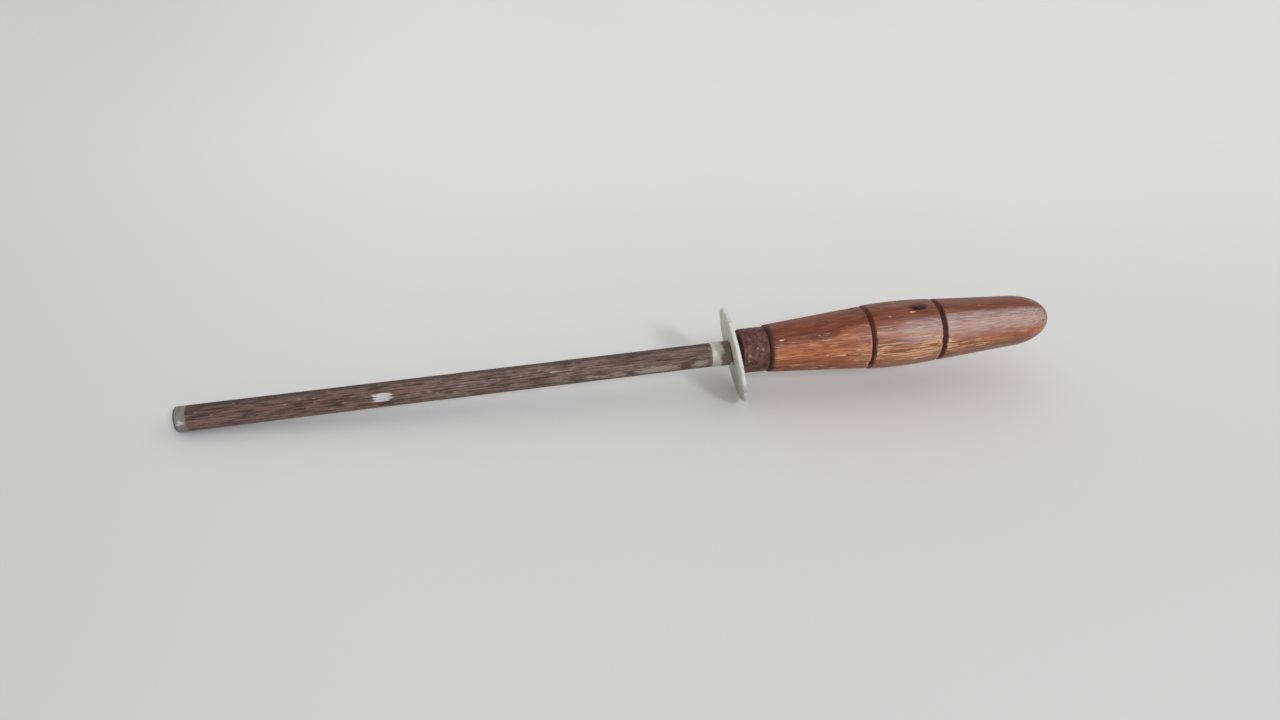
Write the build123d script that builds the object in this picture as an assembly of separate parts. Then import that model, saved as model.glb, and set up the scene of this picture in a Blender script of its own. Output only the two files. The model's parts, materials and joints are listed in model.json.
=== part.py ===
from build123d import *
import os
from math import acos, asin, atan2, cos, degrees, hypot, pi, radians, sin, sqrt, tan

# A fluted sharpening steel: a ridged steel rod whose tang is cemented and
# pinned into a turned wooden handle, with a loose round guard between them.
#
# Every piece is drawn on its own long axis, which is X: the tip points to -X,
# the butt to +X, and X = 0 is the rod's shoulder, where the guard stops.
# At the end the whole steel is laid down on its tip and its guard.
# All sizes are in millimetres.

# --- steel rod, tip to shoulder ---
rod_radius = 4.73  # of the plain collar in front of the guard
ridge_drop = 0.18  # the ridges and the tip are ground this far below the collar
rod_length = 200.3  # from the tip to the shoulder
tip_length = 3.8  # plain end beyond the ridges
tip_round = 1.1  # rounding of the tip's edge
neck_length = 6.8  # plain collar between the ridges and the shoulder
flute_count = 28
flute_depth = 0.42
ridge_land = 0.3  # width left on top of each ridge
flute_runout = 1.6  # length over which a flute rises to the surface
flute_gap = 0.1  # plain ring left between the flutes and the collar

# --- tang, the part of the rod inside the handle ---
shoulder_step = 0.9  # from the rod's surface down to the guard seat
tang_length = 86.0  # from the handle's front end
tang_thickness = 3.8  # at its root
tang_end_share = 0.8  # size at the end compared with the root
tang_slip = 0.04  # corner clearance that lets the guard pass over the tang

# --- guard ---
guard_radius = 18.55
guard_thickness = 1.7
guard_tilt = 9.8  # degrees that the loose guard leans, its top toward the tip
guard_turn = -2.4  # degrees that it is also turned about the upright
guard_offset = 1.2  # how far its hole lies above its middle
guard_slip = 0.06  # clearance of its hole on the seat
guard_play_front = 0.25  # clearance between the guard and the shoulder
guard_play_rear = 0.02  # clearance where the guard leans on the ferrule

# --- ferrule ---
ferrule_radius = 8.55
ferrule_wall = 0.8
ferrule_length = 9.9
ferrule_edge = 0.25  # rounding of both outer edges

# --- handle, all lengths from its front end ---
handle_length = 128.1
handle_droop = 0.49  # degrees that the handle's axis falls away from the rod's
collar_rise = 0.65  # how far the wood stands above the ferrule behind it
collar_round = 1.1  # rounding of that shoulder
waist_radius = 12.1  # in front of the first groove
belly_radius = 12.87  # widest, in the middle of the handle
belly_edge_front = 12.45  # where the belly meets the first groove
belly_edge_rear = 12.3  # where the belly meets the second groove
heel_radius = 12.1  # behind the second groove
butt_radius = 10.1  # where the rounded butt begins
butt_length = 15.7  # of the rounded butt
groove_1_at = 50.0
groove_1_width = 2.0
groove_1_depth = 0.9
groove_2_at = 79.0
groove_2_width = 2.5
groove_2_depth = 1.1

# --- bore, cement and cross pin ---
cement_film = 0.6  # round the corners of the tang
cement_recess = 0.8  # below the handle's front end
bore_spare = 2.0  # drilled beyond the end of the tang
pin_at = 70.3  # from the handle's front end
pin_radius = 1.3
pin_angle = 5.0  # degrees from upright, about the long axis
pin_sink = 2.3  # how far the upper end lies below the wood
pin_rise_gap = 0.4  # how far the lower end lies below the wood
tearout_length = 7.0  # along the grain
tearout_width = 3.8  # across the grain
tearout_depth = 1.9

# --- sizes that follow from those above ---
tilt = radians(guard_tilt)
ridge_radius = rod_radius - ridge_drop
seat_radius = rod_radius - shoulder_step
tang_corner = seat_radius - tang_slip
tang_width = 2 * sqrt(tang_corner**2 - (tang_thickness / 2) ** 2)
lean = acos(cos(tilt) * cos(radians(guard_turn)))  # of the guard, both ways together
half_guard = guard_thickness / 2
guard_hole_radius = seat_radius / cos(lean) + half_guard * tan(lean) + guard_slip
guard_middle = rod_radius * tan(lean) + half_guard / cos(lean) + guard_play_front
handle_front = (
    guard_middle
    + half_guard / cos(lean)
    + ferrule_radius * (tan(lean) + tan(radians(handle_droop)))
    + guard_play_rear
)
tenon_radius = ferrule_radius - ferrule_wall
collar_radius = ferrule_radius + collar_rise
ferrule_rear = handle_front + ferrule_length
handle_rear = handle_front + handle_length
tang_end = handle_front + tang_length
bore_radius = tang_corner + cement_film
bore_end = tang_end + bore_spare
pin_x = handle_front + pin_at


def round_bar(radius, x_from, x_to):
    """A plain cylinder on the long axis."""
    place = Plane.YZ.offset(x_from)
    return extrude(place * Circle(radius), x_to - x_from)


def turned(outline):
    """A solid of revolution about the long axis from its closed half outline."""
    return revolve(make_face(outline), Axis.X)


def flute_cutter():
    """One flute at the top of the rod: a long wedge with sloping ends."""
    over = flute_depth  # the wedge stands this far out of the surface
    pitch = 2 * pi * ridge_radius / flute_count
    half_at_surface = (pitch - ridge_land) / 2
    half_top = half_at_surface * (flute_depth + over) / flute_depth
    slope_top = flute_runout * (flute_depth + over) / flute_depth
    root_z = ridge_radius - flute_depth
    top_z = ridge_radius + over
    root_a = (-rod_length + tip_length + flute_runout, 0, root_z)
    root_b = (-neck_length - flute_runout - flute_gap, 0, root_z)
    left_a = (root_a[0] - slope_top, -half_top, top_z)
    right_a = (root_a[0] - slope_top, half_top, top_z)
    left_b = (root_b[0] + slope_top, -half_top, top_z)
    right_b = (root_b[0] + slope_top, half_top, top_z)
    sides = (
        (left_a, left_b, right_b, right_a),
        (root_a, left_a, left_b, root_b),
        (root_a, root_b, right_b, right_a),
        (root_a, right_a, left_a),
        (root_b, left_b, right_b),
    )
    return Solid(Shell([Face(Wire.make_polygon(side)) for side in sides]))


def tang_solid():
    """The flat tang, tapering in both directions to its end."""
    root = Plane.YZ.offset(handle_front)
    end = Plane.YZ.offset(tang_end)
    wide = root * Rectangle(tang_width, tang_thickness)
    slim = end * Rectangle(tang_width * tang_end_share, tang_thickness * tang_end_share)
    return loft([wide, slim])


def pin_solid():
    """The cross pin, upright through the handle's middle."""
    top = belly_radius - pin_sink
    bottom = belly_radius - pin_rise_gap
    bar = extrude(Plane.XY.offset(-bottom) * Circle(pin_radius), top + bottom)
    return Pos(pin_x, 0, 0) * turn_to_pin(bar)


def pin_hole():
    """The hole that the pin was driven through, open at both ends."""
    reach = belly_radius + pin_radius
    bar = extrude(Plane.XY.offset(-reach) * Circle(pin_radius), 2 * reach)
    return Pos(pin_x, 0, 0) * turn_to_pin(bar)


def drooped(shape):
    """Lowers a shape at the butt end, as the handle's axis falls away."""
    hinge = Pos(handle_front, 0, 0)
    return hinge * Rot(0, handle_droop, 0) * hinge.inverse() * shape


def turn_to_pin(shape):
    """Leans a shape that was drawn upright over to the pin's direction."""
    return Rot(pin_angle, 0, 0) * shape


def steel_rod():
    bar = round_bar(ridge_radius, -rod_length, -neck_length)
    tip_edge = bar.edges().filter_by(GeomType.CIRCLE).sort_by(Axis.X)[0]
    bar = fillet(tip_edge, tip_round)
    cutter = flute_cutter()
    step = 360 / flute_count
    bar = bar - [Rot(step * index, 0, 0) * cutter for index in range(flute_count)]
    collar = round_bar(rod_radius, -neck_length, 0)
    seat = round_bar(seat_radius, 0, handle_front)
    return bar + collar + seat + tang_solid() - drooped(pin_hole())


def guard():
    rim = guard_radius - half_guard
    front_out = (-half_guard, rim)
    back_out = (half_guard, rim)
    outline = (
        Line((-half_guard, 0), front_out)
        + ThreePointArc(front_out, (0, guard_radius), back_out)
        + Line(back_out, (half_guard, 0))
        + Line((half_guard, 0), (-half_guard, 0))
    )
    disc = Pos(0, 0, -guard_offset) * turned(outline)
    disc -= round_bar(guard_hole_radius, -guard_thickness, guard_thickness)
    return Pos(guard_middle, 0, 0) * Rot(0, 0, guard_turn) * Rot(0, -guard_tilt, 0) * disc


def ferrule():
    tube = round_bar(ferrule_radius, handle_front, ferrule_rear)
    outer_edges = tube.edges().filter_by(GeomType.CIRCLE)
    tube = fillet(outer_edges, ferrule_edge)
    return drooped(tube - round_bar(tenon_radius, handle_front, ferrule_rear))


def groove(at, width, depth, front_radius, rear_radius):
    """The half-round bottom of a turned groove, front lip to rear lip."""
    middle = handle_front + at
    bottom = min(front_radius, rear_radius) - depth
    front_lip = (middle - width / 2, front_radius)
    rear_lip = (middle + width / 2, rear_radius)
    return ThreePointArc(front_lip, (middle, bottom), rear_lip)


def handle_blank():
    """The turned outside of the handle, with its tenon for the ferrule."""
    collar_top = (ferrule_rear + collar_round, collar_radius)
    collar_mid = (
        ferrule_rear + collar_round * (1 - sqrt(0.5)),
        collar_radius - collar_round * (1 - sqrt(0.5)),
    )
    collar_low = (ferrule_rear, collar_radius - collar_round)
    first = groove(groove_1_at, groove_1_width, groove_1_depth, waist_radius, belly_edge_front)
    second = groove(groove_2_at, groove_2_width, groove_2_depth, belly_edge_rear, heel_radius)
    belly_mid = ((first @ 1).X + (second @ 0).X) / 2
    butt_start = Vector(handle_rear - butt_length, butt_radius)
    taper = (butt_start - second @ 1).normalized()
    bend = 4 / 3 * (sqrt(2) - 1)  # control length of a quarter ellipse
    outline = (
        Line((handle_front, 0), (handle_front, tenon_radius))
        + Line((handle_front, tenon_radius), (ferrule_rear, tenon_radius))
        + Line((ferrule_rear, tenon_radius), collar_low)
        + ThreePointArc(collar_low, collar_mid, collar_top)
        + Line(collar_top, first @ 0)
        + first
        + ThreePointArc(first @ 1, (belly_mid, belly_radius), second @ 0)
        + second
        + Line(second @ 1, butt_start)
        + Bezier(
            butt_start,
            butt_start + taper * (bend * butt_length),
            (handle_rear, bend * butt_radius),
            (handle_rear, 0),
        )
        + Line((handle_rear, 0), (handle_front, 0))
    )
    return turned(outline)


def tang_bore():
    """The drilled hole for the tang, with the cone that a drill leaves."""
    cone = bore_radius * tan(radians(31))
    outline = Polyline(
        (handle_front, 0),
        (handle_front, bore_radius),
        (bore_end, bore_radius),
        (bore_end + cone, 0),
        close=True,
    )
    return turned(outline)


def tearout():
    """The hollow where the grain has torn out round the pin's upper end."""
    ball = scale(Sphere(1), by=(tearout_length / 2, tearout_width / 2, tearout_depth))
    return Pos(pin_x, 0, 0) * turn_to_pin(Pos(0, 0, belly_radius) * ball)


def wood_handle():
    return drooped(handle_blank() - tang_bore() - pin_hole() - tearout())


def tang_cement():
    """The resin that fills the bore round the tang."""
    fill = tang_bore() - round_bar(bore_radius, handle_front, handle_front + cement_recess)
    return drooped(fill - pin_hole()) - tang_solid()


def rest_angle():
    """Degrees that the butt end rises when tip and guard lie on a flat table."""
    guard_reach = guard_radius - half_guard + guard_offset
    tip_centre = (-rod_length + tip_round, -(ridge_radius - tip_round))
    rim_centre = (
        guard_middle + guard_reach * sin(tilt),
        -guard_reach * cos(tilt),
    )
    run = rim_centre[0] - tip_centre[0]
    drop = rim_centre[1] - tip_centre[1]
    difference = half_guard - tip_round
    return degrees(asin(difference / hypot(run, drop)) - atan2(drop, run))


def laid_down(pieces):
    """All pieces tilted to rest on the table, centred over the origin."""
    lean = Rot(0, -rest_angle(), 0)
    tilted = {name: lean * shape for name, shape in pieces.items()}
    box = Compound(list(tilted.values())).bounding_box()
    centre = box.center()
    shift = Pos(-centre.X, -centre.Y, -box.min.Z)
    return {name: shift * shape for name, shape in tilted.items()}


pieces = laid_down(
    {
        "steel_rod": steel_rod(),
        "guard": guard(),
        "ferrule": ferrule(),
        "wood_handle": wood_handle(),
        "tang_cement": tang_cement(),
        "tang_pin": drooped(pin_solid()),
    }
)

os.makedirs("parts", exist_ok=True)
for name, shape in pieces.items():
    export_step(shape, f"parts/{name}.step")
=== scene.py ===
"""Finishes a packed knife sharpening steel: a fluted rod, a loose guard, a ferrule and a turned handle."""

import json
import math

import bpy
import numpy as np
from bpy.props import FloatProperty, FloatVectorProperty, IntProperty, PointerProperty
from mathutils import Matrix, Vector, noise


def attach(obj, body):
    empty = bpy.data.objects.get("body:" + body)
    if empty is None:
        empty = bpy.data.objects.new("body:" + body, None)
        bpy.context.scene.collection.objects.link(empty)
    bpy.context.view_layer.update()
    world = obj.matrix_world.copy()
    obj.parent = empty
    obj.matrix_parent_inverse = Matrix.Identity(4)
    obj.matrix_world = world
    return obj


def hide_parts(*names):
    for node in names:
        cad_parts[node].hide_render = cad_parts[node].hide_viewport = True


bl_info = {
    "name": "Sharpening Steel",
    "version": (1, 0, 0),
    "blender": (4, 5, 0),
    "location": "View3D > Sidebar > Steel",
    "description": "Builds the visible pieces of a knife sharpening steel round its packed model",
    "category": "Object",
}

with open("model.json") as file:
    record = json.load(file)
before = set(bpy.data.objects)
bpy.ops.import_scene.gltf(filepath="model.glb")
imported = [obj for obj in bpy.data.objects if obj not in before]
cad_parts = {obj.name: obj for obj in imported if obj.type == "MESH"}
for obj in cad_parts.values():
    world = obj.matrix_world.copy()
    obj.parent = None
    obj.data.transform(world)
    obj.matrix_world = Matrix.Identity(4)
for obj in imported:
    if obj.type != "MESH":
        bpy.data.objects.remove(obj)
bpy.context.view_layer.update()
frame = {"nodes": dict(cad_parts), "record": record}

MM = 0.001
BODY = "root"
HAIR = 0.001 * MM  # keeps the tip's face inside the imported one


# ---------------------------------------------------------------------------
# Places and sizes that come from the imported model
# ---------------------------------------------------------------------------

mounts = {mount["name"]: mount for mount in frame["record"]["mounts"]}
collar = mounts["collar"]
tip_end = mounts["tip_end"]
guard_face = mounts["guard_face"]

ALONG = -Vector(tip_end["axis"]).normalized()
DROOP = math.radians(0.49)  # the handle's axis falls away from the rod's by this much
SHOULDER = Vector(collar["pos_m"]) + ALONG * (collar["dims"]["length_mm"] * MM / 2)
ROD_LENGTH = (SHOULDER - Vector(tip_end["pos_m"])).dot(ALONG)
COLLAR_RADIUS = collar["dims"]["r_mm"] * MM
COLLAR_LENGTH = collar["dims"]["length_mm"] * MM


def placing(origin, axis):
    """A frame with X along an axis, Z as upright as it can be, and Y across."""
    up = axis.cross(Vector((0, 1, 0))).normalized()
    turn = Matrix((axis, up.cross(axis), up)).transposed().to_4x4()
    return Matrix.Translation(origin) @ turn


def extent(node, place):
    """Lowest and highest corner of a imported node, seen in a frame of its own."""
    seen = np.array([place.inverted() @ v.co for v in frame["nodes"][node].data.vertices])
    return seen.min(axis=0), seen.max(axis=0)


STEEL = placing(SHOULDER, ALONG)
GUARD_ALONG = -Vector(guard_face["axis"]).normalized()
face_low, face_high = extent("guard", placing(Vector(guard_face["pos_m"]), GUARD_ALONG))
GUARD_THICKNESS = float(face_high[0] - face_low[0])
GUARD_RADIUS = float(face_high[1] - face_low[1]) / 2
to_middle = GUARD_THICKNESS / 2 - (SHOULDER - Vector(guard_face["pos_m"])).dot(GUARD_ALONG)
GUARD_AT = SHOULDER + ALONG * (to_middle / ALONG.dot(GUARD_ALONG))
GUARD = placing(GUARD_AT, GUARD_ALONG)
disc_low, disc_high = extent("guard", GUARD)
GUARD_DROP = -float(disc_low[2] + disc_high[2]) / 2  # its hole lies this far above its middle

hinge = Matrix.Translation((float(extent("wood_handle", STEEL)[0][0]), 0, 0))
HANDLE = STEEL @ hinge @ Matrix.Rotation(DROOP, 4, "Y") @ hinge.inverted()
ferrule_high = extent("ferrule", HANDLE)[1]
handle_low, handle_high = extent("wood_handle", HANDLE)
pin_low, pin_high = extent("tang_pin", HANDLE)
HANDLE_FRONT = float(handle_low[0])
HANDLE_REAR = float(handle_high[0])
FERRULE_REAR = float(ferrule_high[0])
FERRULE_RADIUS = float(ferrule_high[1])
PIN_AT = float(pin_low[0] + pin_high[0]) / 2
pin_points = [HANDLE.inverted() @ v.co for v in frame["nodes"]["tang_pin"].data.vertices]
pin_top = np.array([point for point in pin_points if point.z > 0]).mean(axis=0)
PIN_LEAN = math.atan2(-pin_top[1], pin_top[2])


# ---------------------------------------------------------------------------
# Sizes and colours that a user would change
# ---------------------------------------------------------------------------


def size(name, description, millimetres):
    """A length property, given in millimetres and kept in metres."""
    return FloatProperty(
        name=name,
        description=description,
        default=millimetres * MM,
        min=0.0,
        precision=5,
        unit="LENGTH",
        subtype="DISTANCE",
    )


def share(name, description, default):
    """A property from 0 to 1."""
    return FloatProperty(
        name=name, description=description, default=default, min=0.0, max=1.0, subtype="FACTOR"
    )


def linear(level):
    """Display brightness, 0 to 255, as linear light."""
    level = level / 255
    return level / 12.92 if level <= 0.04045 else ((level + 0.055) / 1.055) ** 2.4


def colour(name, description, red, green, blue):
    """A colour property from display values, 0 to 255."""
    return FloatVectorProperty(
        name=name,
        description=description,
        default=(linear(red), linear(green), linear(blue)),
        min=0.0,
        max=1.0,
        size=3,
        subtype="COLOR",
    )


class RodSettings(bpy.types.PropertyGroup):
    """Sizes and colours of the steel rod."""

    flutes: IntProperty(name="Flutes", description="Number of flutes round the rod", default=28, min=3)
    ridge_drop: size("Ridge drop", "How far the ridges lie below the collar", 0.18)
    flute_depth: size("Flute depth", "Depth of a flute below its ridges", 0.42)
    runout: size("Run-out", "Length over which a flute rises at its end", 1.6)
    tip_length: size("Bare tip", "Plain end beyond the flutes", 3.8)
    tip_round: size("Tip rounding", "Rounding of the tip's edge", 1.1)
    seat_step: size("Seat step", "From the collar down to the guard's seat", 0.9)
    tang_length: size("Tang length", "Length of the tang inside the handle", 86.0)
    tang_thickness: size("Tang thickness", "Thickness of the tang at its root", 3.8)
    tang_end: share("Tang end", "Size of the tang's end compared with its root", 0.8)
    ring_step: size("Ring step", "Distance between rings of vertices on the flutes", 0.62)
    pitting: size("Pitting", "Depth of the rust pits", 0.09)
    rust_dark: colour("Dark rust", "Rust in the flutes", 62, 44, 38)
    rust_mid: colour("Brown rust", "Thin rust film", 118, 90, 82)
    rust_red: colour("Red rust", "Redder streaks in the film", 126, 68, 60)
    film_grey: colour("Grey film", "Worn ridges", 160, 147, 139)
    bare: colour("Bare steel", "Tip and collar", 203, 200, 195)
    fleck: colour("Fleck", "Pale ragged spot", 205, 197, 204)
    beige: colour("Pale film", "Patches where the rust has rubbed thin", 156, 143, 132)


class GuardSettings(bpy.types.PropertyGroup):
    """Sizes and colours of the guard."""

    hole_slip: size("Hole radius", "Radius of the hole for the rod's seat", 4.1)
    warp: size("Warp", "How far the faces are hollowed by casting and wear", 0.09)
    pale: colour("Pale alloy", "Clean parts of the casting", 211, 212, 203)
    dull: colour("Dull alloy", "Oxidised parts of the casting", 178, 180, 168)
    stain: colour("Stain", "Rust spots from the rod", 138, 100, 66)


class FerruleSettings(bpy.types.PropertyGroup):
    """Sizes and colours of the ferrule."""

    wall: size("Wall", "Thickness of the tube", 0.8)
    edge: size("Edge rounding", "Rounding of the outer edges", 0.25)
    pitting: size("Pitting", "Depth of the rust pits", 0.14)
    rust_dark: colour("Dark rust", "Darkest rust", 80, 47, 42)
    rust_mid: colour("Brown rust", "Most of the tube", 148, 92, 81)
    rust_pale: colour("Pale rust", "Rubbed high spots", 170, 130, 119)


class HandleSettings(bpy.types.PropertyGroup):
    """Sizes and colours of the handle. Places are from its front end."""

    collar_rise: size("Collar rise", "How far the wood stands above the ferrule", 0.65)
    collar_round: size("Collar rounding", "Rounding of the shoulder behind the ferrule", 1.1)
    waist: size("Waist radius", "In front of the first groove", 12.1)
    belly: size("Belly radius", "Widest, in the middle", 12.87)
    belly_front: size("Belly front radius", "Behind the first groove", 12.45)
    belly_rear: size("Belly rear radius", "In front of the second groove", 12.3)
    heel: size("Heel radius", "Behind the second groove", 12.1)
    butt: size("Butt radius", "Where the rounded butt begins", 10.1)
    butt_length: size("Butt length", "Length of the rounded butt", 15.7)
    groove_1_at: size("First groove", "Middle of the first groove", 50.0)
    groove_1_width: size("First groove width", "Lip to lip", 2.0)
    groove_1_depth: size("First groove depth", "Below the lower lip", 0.9)
    groove_2_at: size("Second groove", "Middle of the second groove", 79.0)
    groove_2_width: size("Second groove width", "Lip to lip", 2.5)
    groove_2_depth: size("Second groove depth", "Below the lower lip", 1.1)
    bore: size("Bore radius", "Drilled hole for the tang", 4.39)
    bore_depth: size("Bore depth", "Depth of the bore to its full radius", 88.0)
    hole_length: size("Tear-out length", "Hollow round the pin, along the grain", 8.6)
    hole_width: size("Tear-out width", "Hollow round the pin, across the grain", 4.3)
    hole_depth: size("Tear-out depth", "Hollow round the pin, below the wood", 1.9)
    pin: size("Pin radius", "Radius of the cross pin's hole", 1.32)
    pin_sink: size("Pin sink", "How far the pin's top lies below the wood", 2.3)
    ring_step: size("Ring step", "Distance between rings of vertices", 0.45)
    dark: colour("Dark wood", "Darkest grain", 84, 34, 20)
    mid: colour("Mid wood", "Most of the handle", 152, 82, 50)
    light: colour("Light wood", "Lightest grain", 196, 122, 76)
    stained: colour("Stained wood", "Redder stain along the top", 86, 25, 11)
    flame: colour("Flame", "Jagged dark band below the stain", 60, 14, 8)
    # Painted sheen: the light's lavender-grey highlight on the varnish, laid into the colour
    painted_sheen: colour("Painted sheen", "Painted sheen of the light on the varnish", 192, 170, 168)
    raw: colour("Raw wood", "Where the finish has worn through", 220, 184, 146)
    rubbed: colour("Rubbed lip", "Edges of the grooves", 188, 142, 112)
    # The burnt colour is also painted shade on the shoulder behind the ferrule
    burnt: colour("Burnt wood", "Grooves and shoulder", 62, 23, 17)


class StageSettings(bpy.types.PropertyGroup):
    """Floor, light and camera."""

    floor: colour("Floor", "Plain pale floor", 220, 220, 222)
    # Painted light: the floor is made brighter behind the steel
    floor_far: colour("Far floor", "The floor behind the steel", 237, 237, 239)
    ambient: share("Ambient light", "Strength of the even light from all round", 0.72)
    light_power: FloatProperty(name="Light power", description="Power of the soft light", default=26.0)
    light_width: size("Light width", "Diameter of the soft light", 560)
    light_distance: size("Light distance", "From the steel to the soft light", 3000)
    lens: FloatProperty(name="Lens", description="Focal length on a 36 mm sensor", default=27.9)
    distance: size("Camera distance", "From the aim point to the camera", 402.8)
    azimuth: FloatProperty(
        name="Azimuth", description="Camera direction round the steel", default=math.radians(-14.247),
        unit="ROTATION", subtype="ANGLE",
    )
    elevation: FloatProperty(
        name="Elevation", description="Camera height above the horizon", default=math.radians(35.577),
        unit="ROTATION", subtype="ANGLE",
    )
    roll: FloatProperty(
        name="Roll", description="Camera roll", default=math.radians(4.935),
        unit="ROTATION", subtype="ANGLE",
    )
    aim: FloatVectorProperty(
        name="Aim", description="Point that the camera looks at", default=(0.00558, 0.02357, 0.00072),
        size=3, unit="LENGTH", subtype="TRANSLATION",
    )


# ---------------------------------------------------------------------------
# Mesh tools for turned pieces
# ---------------------------------------------------------------------------


def straight(start, end):
    """A straight stretch of outline."""
    return np.array([start, end], float)


def arc(start, middle, end, count=60):
    """A round stretch of outline through three points."""
    (ax, ay), (bx, by), (cx, cy) = start, middle, end
    d = 2 * (ax * (by - cy) + bx * (cy - ay) + cx * (ay - by))
    a2, b2, c2 = ax**2 + ay**2, bx**2 + by**2, cx**2 + cy**2
    ox = (a2 * (by - cy) + b2 * (cy - ay) + c2 * (ay - by)) / d
    oy = (a2 * (cx - bx) + b2 * (ax - cx) + c2 * (bx - ax)) / d
    radius = math.hypot(ax - ox, ay - oy)
    first, mid, last = (math.atan2(y - oy, x - ox) for x, y in (start, middle, end))
    turn = (last - first) % (2 * math.pi)
    if (mid - first) % (2 * math.pi) > turn:
        turn -= 2 * math.pi
    angles = first + turn * np.linspace(0, 1, count)
    return np.column_stack((ox + radius * np.cos(angles), oy + radius * np.sin(angles)))


def bezier(a, b, c, d, count=60):
    """A curved stretch of outline with two control points."""
    a, b, c, d = (np.array(p, float) for p in (a, b, c, d))
    t = np.linspace(0, 1, count)[:, None]
    return (1 - t) ** 3 * a + 3 * (1 - t) ** 2 * t * b + 3 * (1 - t) * t**2 * c + t**3 * d


def rings_along(stretches, step_at):
    """Ring places (x, radius) along an outline, spaced as step_at(x) says, corners kept."""
    xs, radii = [], []
    for points in stretches:
        gaps = np.hypot(*np.diff(points, axis=0).T)
        along = np.concatenate([[0.0], np.cumsum(gaps)])
        places = [0.0]
        while places[-1] < along[-1]:
            here = np.interp(places[-1], along, points[:, 0])
            places.append(places[-1] + step_at(here))
        places = np.array(places) * (along[-1] / places[-1])
        first = 1 if xs else 0
        xs.extend(np.interp(places, along, points[:, 0])[first:])
        radii.extend(np.interp(places, along, points[:, 1])[first:])
    return np.array(xs), np.array(radii)


def lumps(x, y, z, layers=3):
    """Smooth random values, about -1 to 1, at the points that three arrays give."""
    places = zip(x.ravel(), y.ravel(), z.ravel())
    values = [noise.fractal(place, 1.0, 2.0, layers) for place in places]
    return np.array(values).reshape(x.shape)


def smooth(values, low, high):
    """0 below low, 1 above high, smooth between."""
    t = np.clip((values - low) / (high - low), 0, 1)
    return t * t * (3 - 2 * t)


def gap_round(turn, at):
    """Angle from a place round the axis, -pi to pi."""
    return (turn - at + math.pi) % (2 * math.pi) - math.pi


def oval(x, turn, radius, at, degrees, length, width):
    """1 in the middle of an oval on a turned surface, 0 at its edge and beyond.

    degrees is its place round the axis: 0 is the top, -90 the near side.
    """
    across = gap_round(turn, math.radians(degrees)) * radius
    reach = np.hypot((x - at) / (length / 2), across / (width / 2))
    return np.clip(1 - reach, 0, 1)


def surface(ring_x, ring_radius, angles):
    """Grids of x, angle, radius, y and z, one row for each ring about X."""
    x, turn = np.meshgrid(ring_x, angles, indexing="ij")
    radius = np.repeat(ring_radius[:, None], turn.shape[1], axis=1)
    return x, turn, radius, radius * np.sin(turn), radius * np.cos(turn)


def spots_on(x, turn, radius):
    """A function for oval spots on a turned surface, in millimetres and degrees."""

    def spot(at, degrees, length, width):
        return oval(x, turn, radius, at * MM, degrees, length * MM, width * MM)

    return spot


def largest(*fields):
    """The largest of several fields at each place."""
    return np.maximum.reduce(fields)


def turned_mesh(name, x, radius, turn, marks, loop=False, sharp=35, drop=0.0):
    """A mesh from rings of vertices about X. marks are values that its material reads."""
    on_axis = radius.max(axis=1) < 1e-9
    y = radius * np.sin(turn)
    z = radius * np.cos(turn) - drop
    rows, columns = x.shape
    index = np.zeros((rows, columns), int)
    keep = np.ones((rows, columns), bool)
    keep[on_axis, 1:] = False
    index[keep] = np.arange(keep.sum())
    index[on_axis] = index[on_axis][:, :1]
    points = np.column_stack((x[keep], y[keep], z[keep]))
    upper = index if loop else index[:-1]
    lower = np.roll(index, -1, axis=0) if loop else index[1:]
    quads = np.stack((upper, np.roll(upper, -1, 1), np.roll(lower, -1, 1), lower), axis=-1)
    quads = quads.reshape(-1, 4)
    faces = []
    for a, b, c, d in quads.tolist():
        if a == b:
            faces.append((a, c, d))
        elif c == d:
            faces.append((a, b, c))
        else:
            faces.append((a, b, c, d))
    mesh = bpy.data.meshes.new(name)
    mesh.from_pydata(points.tolist(), [], faces)
    a, b, c = (points[quads[:, k]] for k in (0, 1, 2))
    if np.einsum("ij,ij->i", a, np.cross(b, c)).sum() < 0:
        mesh.flip_normals()
    mesh.shade_smooth()
    mesh.set_sharp_from_angle(angle=math.radians(sharp))
    for label, values in marks.items():
        layer = mesh.attributes.new(label, "FLOAT", "POINT")
        layer.data.foreach_set("value", values[keep].astype(np.float32))
    layer = mesh.attributes.new("own_place", "FLOAT_VECTOR", "POINT")
    layer.data.foreach_set("vector", points.ravel().astype(np.float32))
    return mesh


def place_piece(name, mesh, place, material, node):
    """Links a piece into the scene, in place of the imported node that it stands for."""
    mesh.transform(place)
    piece = bpy.data.objects.new(name, mesh)
    bpy.context.scene.collection.objects.link(piece)
    mesh.materials.append(material)
    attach(piece, BODY)
    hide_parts(node)


# ---------------------------------------------------------------------------
# Node tools
# ---------------------------------------------------------------------------


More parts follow.
